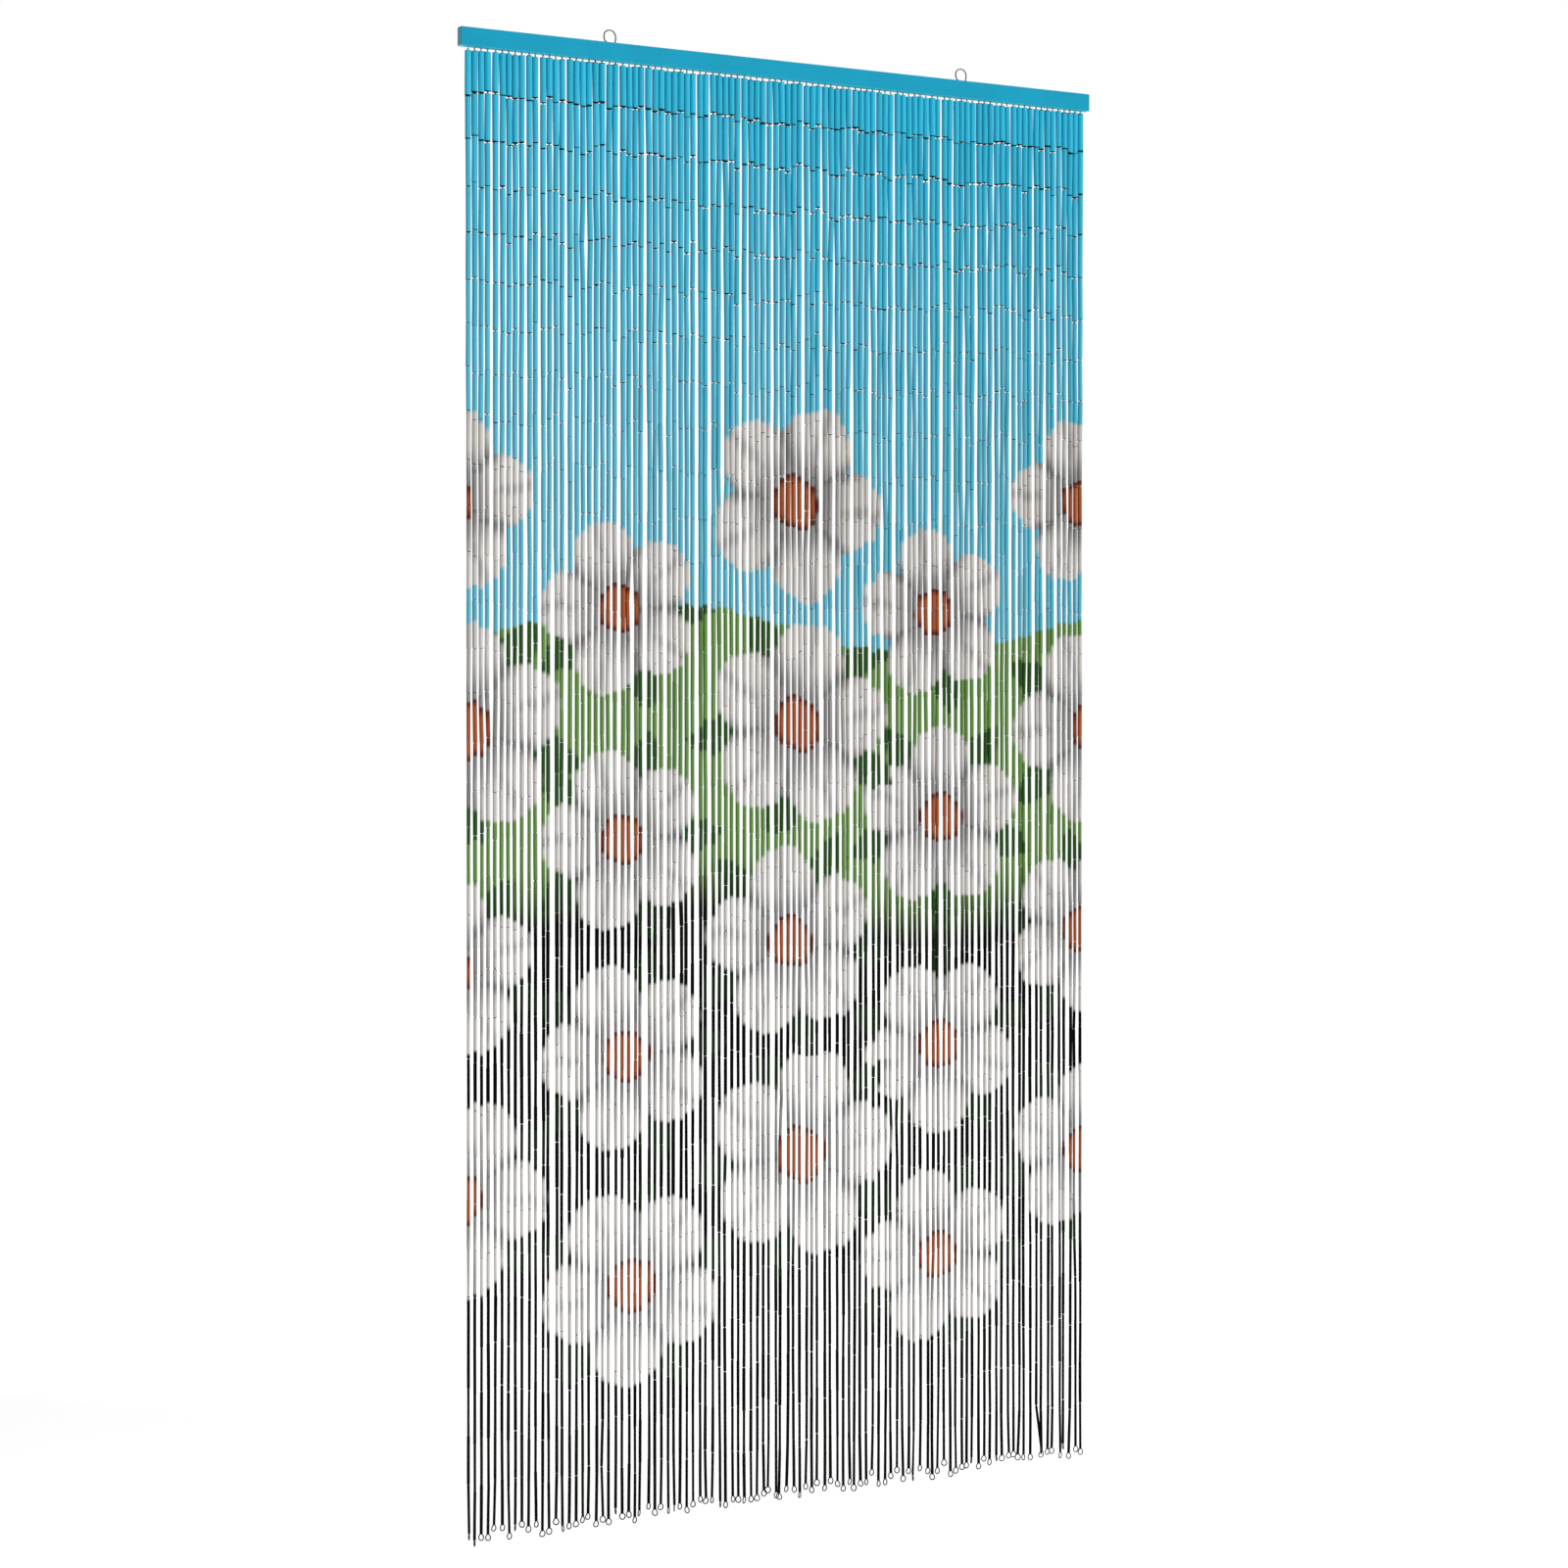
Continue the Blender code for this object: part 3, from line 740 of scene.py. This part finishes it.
def tube_group(name, numbers, tubes, finishes):
    """The bamboo tubes of some neighbouring strands, as one mesh."""
    top, foot, radius = (array[numbers].reshape(-1, *array.shape[2:]) for array in tubes[:3])
    count = len(top)
    chance = np.random.default_rng(TUBE_SEED + numbers[0])
    bow = chance.uniform(-BOW, BOW, (count, 2))
    oval = chance.uniform(-OVALNESS, OVALNESS, count)
    turn = chance.uniform(0, 2 * math.pi, count)
    skew = chance.uniform(-SAW_SKEW, SAW_SKEW, (2, count, 2))
    angle = turn[:, None] + np.arange(TUBE_SIDES) * 2 * math.pi / TUBE_SIDES
    round_x, round_y = np.cos(angle), np.sin(angle)

    rings, depths = [], []
    for share, chamfers, radius_share, _ in TUBE_RINGS:
        middle = top + (foot - top) * share
        middle[:, :2] += bow * math.sin(math.pi * share)
        radius_here = (radius[:, 0] + (radius[:, 1] - radius[:, 0]) * share)[:, None]
        chamfer = chamfers * CHAMFER_SHARE * radius_here
        wide = radius_here * radius_share * (1 + oval[:, None])
        deep = radius_here * radius_share * (1 - oval[:, None])
        ring = np.repeat(middle[:, None, :], TUBE_SIDES, axis=1)
        ring[:, :, 0] += wide * round_x
        ring[:, :, 1] += deep * round_y
        ring[:, :, 2] -= chamfer
        slope = skew[0] if share < 0.5 else skew[1]
        if share in (0.0, 1.0):
            ring[:, :, 2] += wide * round_x * slope[:, :1] + deep * round_y * slope[:, 1:]
        rings.append(ring)
        from_end = min(share, 1 - share) * (top - foot)[:, 2:] + abs(chamfer)
        # The upper end's dark band is narrower, since less painted shade falls there than under the lower
        # end
        if share < 0.5:
            from_end = from_end + TOP_LESS_SHADED
        depths.append(np.broadcast_to(from_end, (count, TUBE_SIDES)))
    rings = np.stack(rings, axis=1)
    ends = np.stack([top, foot], axis=1)
    ends[:, :, 2] += (-BORE_DEPTH, BORE_DEPTH)
    band_finishes = np.zeros(len(TUBE_RINGS) - 1, int)
    band_finishes[[0, -1]] = 1  # the sawn rims; the skin between them is painted
    piece = loft(name, rings, ends, finishes, band_finishes, CREASE_ANGLE)
    unroll(piece.data, count)

    # Where each point is on the painted design: one place across for a whole strand, and a strand
    # may hang a few millimetres higher or lower than it was painted
    corner_count = len(TUBE_RINGS) * TUBE_SIDES + 2
    points = np.concatenate([rings.reshape(count, -1, 3), ends], axis=1)
    strand_x = rail_low.x + END_INSET + PITCH * numbers
    shift = chance.uniform(-PAINT_SHIFT, PAINT_SHIFT, len(numbers))
    place = points.copy()
    place[:, :, 0] = np.repeat(strand_x, TUBES_PER_STRAND)[:, None]
    place[:, :, 2] += np.repeat(shift, TUBES_PER_STRAND)[:, None]
    tone = np.repeat(chance.uniform(0, 1, count), corner_count)
    depth = np.stack(depths, axis=1).reshape(count, -1)
    depth = np.c_[depth, np.full((count, 2), -BORE_DEPTH)]
    drop = np.tile((np.arange(TUBES_PER_STRAND) + 0.5) / TUBES_PER_STRAND, len(numbers))
    # Width of each tube's dark end band: the unpainted edge and the painted shade at its joints
    edge = np.interp(drop, BARE_AND_SHADED_LEVELS, BARE_AND_SHADED_EDGE) * chance.uniform(*BARE_AND_SHADED_SPREAD, count)
    keep(piece.data, "paint_place", "FLOAT_VECTOR", "vector", place)
    keep(piece.data, "tone", "FLOAT", "value", tone)
    keep(piece.data, "bare_and_shaded_edge", "FLOAT", "value", np.repeat(edge, corner_count))
    keep(piece.data, "from_end", "FLOAT", "value", depth)
    return piece


def wire_eyes(name, anchors, tips, across, half_width, pear, steps, sides, wire, finish, turns=1.0):
    """Eyes bent from wire, as one mesh: from each anchor out round its tip and back again.

    pear is 0 for an oval eye and 1 for one with a narrow neck; turns under 1 leaves the eye open.
    """
    pear = np.broadcast_to(pear, len(anchors))[:, None]
    angle = np.linspace(0, 2 * math.pi * turns, steps + 1)
    out = ((1 - np.cos(angle)) / 2)[None, :, None]
    side = np.sin(angle) * abs(np.sin(angle / 2)) ** pear
    side = (side / side.max(axis=1, keepdims=True))[:, :, None]
    wide = np.broadcast_to(half_width, len(anchors))[:, None, None]
    path = anchors[:, None] + (tips - anchors)[:, None] * out + across[:, None] * wide * side
    plane = np.cross(tips - anchors, across)
    return sweep(name, path, plane, wire, sides, finish)


def sweep(name, path, plane, radius, sides, finish):
    """Round wires along flat paths; plane is the direction square to each path's own plane."""
    along = np.gradient(path, axis=1)
    along /= np.linalg.norm(along, axis=-1, keepdims=True)
    plane = (plane / np.linalg.norm(plane, axis=-1, keepdims=True))[:, None]
    outward = np.cross(along, np.broadcast_to(plane, along.shape))
    angle = (np.arange(sides) * 2 * math.pi / sides)[None, None, :, None]
    rings = np.cos(angle) * outward[:, :, None] + np.sin(angle) * plane[:, :, None]
    rings = path[:, :, None] + radius * rings
    first_tip = path[:, 0] - along[:, 0] * radius / 2
    last_tip = path[:, -1] + along[:, -1] * radius / 2
    ends = np.stack([first_tip, last_tip], axis=1)
    return loft(name, rings, ends, [finish])


def join(name, pieces):
    """Makes one object of several."""
    with bpy.context.temp_override(active_object=pieces[0], selected_editable_objects=pieces):
        bpy.ops.object.join()
    pieces[0].name = name
    pieces[0].data.name = name
    return pieces[0]


def flat_direction(angle):
    """Level directions at these angles from the rail."""
    return np.stack([np.cos(angle), np.sin(angle), np.zeros_like(angle)], axis=-1)


def link_wires(bank, numbers, tubes, finish, hanger_finish):
    """The hanger eyes under the rail and the linked eyes between the tubes of one bank."""
    tops, feet, _, joints = (array[numbers] for array in tubes)
    chance = np.random.default_rng(LINK_SEED + bank)
    seat = np.array([0.0, 0.0, EYE_INSIDE])
    hold = np.array([0.0, 0.0, WIRE_RADIUS])
    first_top = tops[:, 0]
    under_rail = first_top.copy()
    under_rail[:, 2] = rail_low.z
    links = (
        # (the upper and the lower eyes, what each hangs from or holds, where they meet, detail, finish)
        ("upper_eyes", "lower_eyes", feet[:, :-1], tops[:, 1:], joints[:, 1:-1], LINK_DETAIL, finish),
        (
            "rail_eyes", "hanger_eyes", under_rail, first_top, (first_top + under_rail) / 2,
            HANGER_DETAIL, hanger_finish,
        ),
    )
    pieces = []
    for upper_name, lower_name, above, below, meeting, detail, metal in links:
        above, below, meeting = (places.reshape(-1, 3) for places in (above, below, meeting))
        turn = chance.uniform(0, math.pi, len(meeting))
        pieces.append(wire_eyes(
            upper_name, above + seat, meeting - hold, flat_direction(turn),
            EYE_HALF_WIDTH, EYE_PEAR, *detail, WIRE_RADIUS, metal
        ))
        pieces.append(wire_eyes(
            lower_name, below - seat, meeting + hold, flat_direction(turn + math.pi / 2),
            EYE_HALF_WIDTH, EYE_PEAR, *detail, WIRE_RADIUS, metal
        ))
    return join(f"link_wires_{bank + 1}", pieces)


def foot_loops(bank, numbers, strands, tubes, finish):
    """The pear-shaped wire loops that close the strands of one bank."""
    chance = np.random.default_rng(LOOP_SEED + bank)
    foot = tubes[1][numbers][:, -1]
    tip = foot.copy()
    tip[:, 2] = [strands[number].lowest + LOOP_WIRE_RADIUS for number in numbers]
    tip[:, :2] += chance.uniform(-FOOT_LOOP_SWING, FOOT_LOOP_SWING, (len(numbers), 2))
    across = np.array([strands[number].loop_across for number in numbers])
    width = chance.uniform(FOOT_LOOP_NARROWEST, FOOT_LOOP_WIDEST, len(numbers))
    pear = chance.uniform(*FOOT_LOOP_PEAR, len(numbers))
    seat = np.array([0.0, 0.0, FOOT_LOOP_SEAT])
    return wire_eyes(
        f"foot_loops_{bank + 1}", foot + seat, tip, across, width, pear, *FOOT_LOOP_DETAIL,
        LOOP_WIRE_RADIUS, finish, turns=FOOT_LOOP_TURNS
    )


def screw_eye(side, finish):
    """A screw eye bent from one wire, on a smooth curve through its course, open at its free end."""
    low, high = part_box("screw_eye_" + side)
    course = np.array(EYE_COURSE)
    before = np.vstack([2 * course[0] - course[1], course[:-1]])
    after = np.vstack([course[1:], 2 * course[-1] - course[-2]])
    slope = (after - before) / 2
    share = np.linspace(0, 1, EYE_COURSE_STEPS + 1)[:-1, None, None]
    flat = (
        (2 * share ** 3 - 3 * share ** 2 + 1) * course[:-1]
        + (share ** 3 - 2 * share ** 2 + share) * slope[:-1]
        + (3 * share ** 2 - 2 * share ** 3) * course[1:]
        + (share ** 3 - share ** 2) * slope[1:]
    )
    flat = np.vstack([flat.swapaxes(0, 1).reshape(-1, 2), course[-1]])
    path = np.stack([(low.x + high.x) / 2 + flat[:, 0], np.zeros(len(flat)), flat[:, 1]], axis=-1)
    plane = np.array([[0.0, 1.0, 0.0]])
    return sweep(f"screw_eye_{side}_wire", path[None], plane, EYE_BOLT_RADIUS, EYE_BOLT_SIDES, finish)


# The curtain

strands = read_strands()
tubes = hang_tubes(strands)
cane_finishes = [sprayed_cane(), sawn_cane()]
wire_finish = annealed_wire()
hanger_finish = galvanised_wire()
eye_finish = zinc_plated_wire()

for bank in range(BANK_COUNT):
    node = f"strand_bank_{bank + 1}"
    bank_numbers = np.arange(bank * PER_BANK, (bank + 1) * PER_BANK)
    for part, numbers in enumerate(np.array_split(bank_numbers, 2)):
        cane = tube_group(f"bamboo_tubes_{bank + 1}{'ab'[part]}", numbers, tubes, cane_finishes)
        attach(cane, "root")
        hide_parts(node)
    wires = link_wires(bank, bank_numbers, tubes, wire_finish, hanger_finish)
    loops = foot_loops(bank, bank_numbers, strands, tubes, wire_finish)
    for piece in (wires, loops):
        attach(piece, "root")
        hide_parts(node)

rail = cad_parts["header_rail"]
rail.data.materials.clear()
rail.data.materials.append(satin_painted_pine())

for side in ("left", "right"):
    eye = screw_eye(side, eye_finish)
    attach(eye, "root")
    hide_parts("screw_eye_" + side)


# Floor, light and camera

def pale_floor():
    """A round floor just under the curtain's feet."""
    bpy.ops.mesh.primitive_circle_add(
        vertices=FLOOR_SIDES, radius=FLOOR_RADIUS, fill_type="NGON",
        location=(0, 0, cad_box[0].z - FLOOR_CLEARANCE)
    )
    floor = bpy.context.active_object
    floor.name = "floor"
    floor.data.materials.append(matt_floor())


def soft_sun(name, comes_from, strength, spread):
    """A broad, even light spread over so many degrees; comes_from points from the curtain to it."""
    lamp = bpy.data.lights.new(name, "SUN")
    lamp.energy = strength
    lamp.angle = math.radians(spread)
    sun = bpy.data.objects.new(name, lamp)
    sun.rotation_euler = (-Vector(comes_from)).to_track_quat("-Z", "Y").to_euler()
    bpy.context.scene.collection.objects.link(sun)


def white_room():
    """White all round as the camera sees it, and dimmer as a light, so that the tubes keep their form."""
    world = bpy.data.worlds.new("white_room")
    bpy.context.scene.world = world
    world.use_nodes = True
    t = world.node_tree
    seen = add(t, "LightPath").outputs["Is Camera Ray"]
    light = t.nodes["Background"]
    light.inputs["Color"].default_value = linear("#F6F8FA")
    light.inputs["Strength"].default_value = ROOM_LIGHT
    white = add(t, "Background", {"Color": (1.0, 1.0, 1.0, 1.0), "Strength": 1.0})
    both = add(t, "MixShader", [seen, light, white])
    t.links.new(both.outputs["Shader"], t.nodes["World Output"].inputs["Surface"])


def photo_camera():
    """A level camera at the photo's angle, moved up in its frame as the horizon is."""
    lens = bpy.data.cameras.new("photo_camera")
    lens.sensor_width = SENSOR
    lens.lens = SENSOR * FOCAL_PIXELS / PHOTO_SIZE
    lens.shift_y = (HORIZON_PIXEL - PHOTO_SIZE / 2) / PHOTO_SIZE
    lens.clip_start = 0.01
    lens.clip_end = 50.0
    camera = bpy.data.objects.new("photo_camera", lens)
    camera.location = CAMERA_PLACE
    camera.rotation_euler = (math.pi / 2, 0, CAMERA_TURN)
    bpy.context.scene.collection.objects.link(camera)
    bpy.context.scene.camera = camera


pale_floor()
soft_sun("key", comes_from=(0.60, -0.75, 0.90), strength=3.0, spread=12)
soft_sun("fill", comes_from=(-0.85, -0.50, 0.60), strength=0.5, spread=40)
white_room()
photo_camera()
bpy.context.scene.view_settings.view_transform = "Standard"
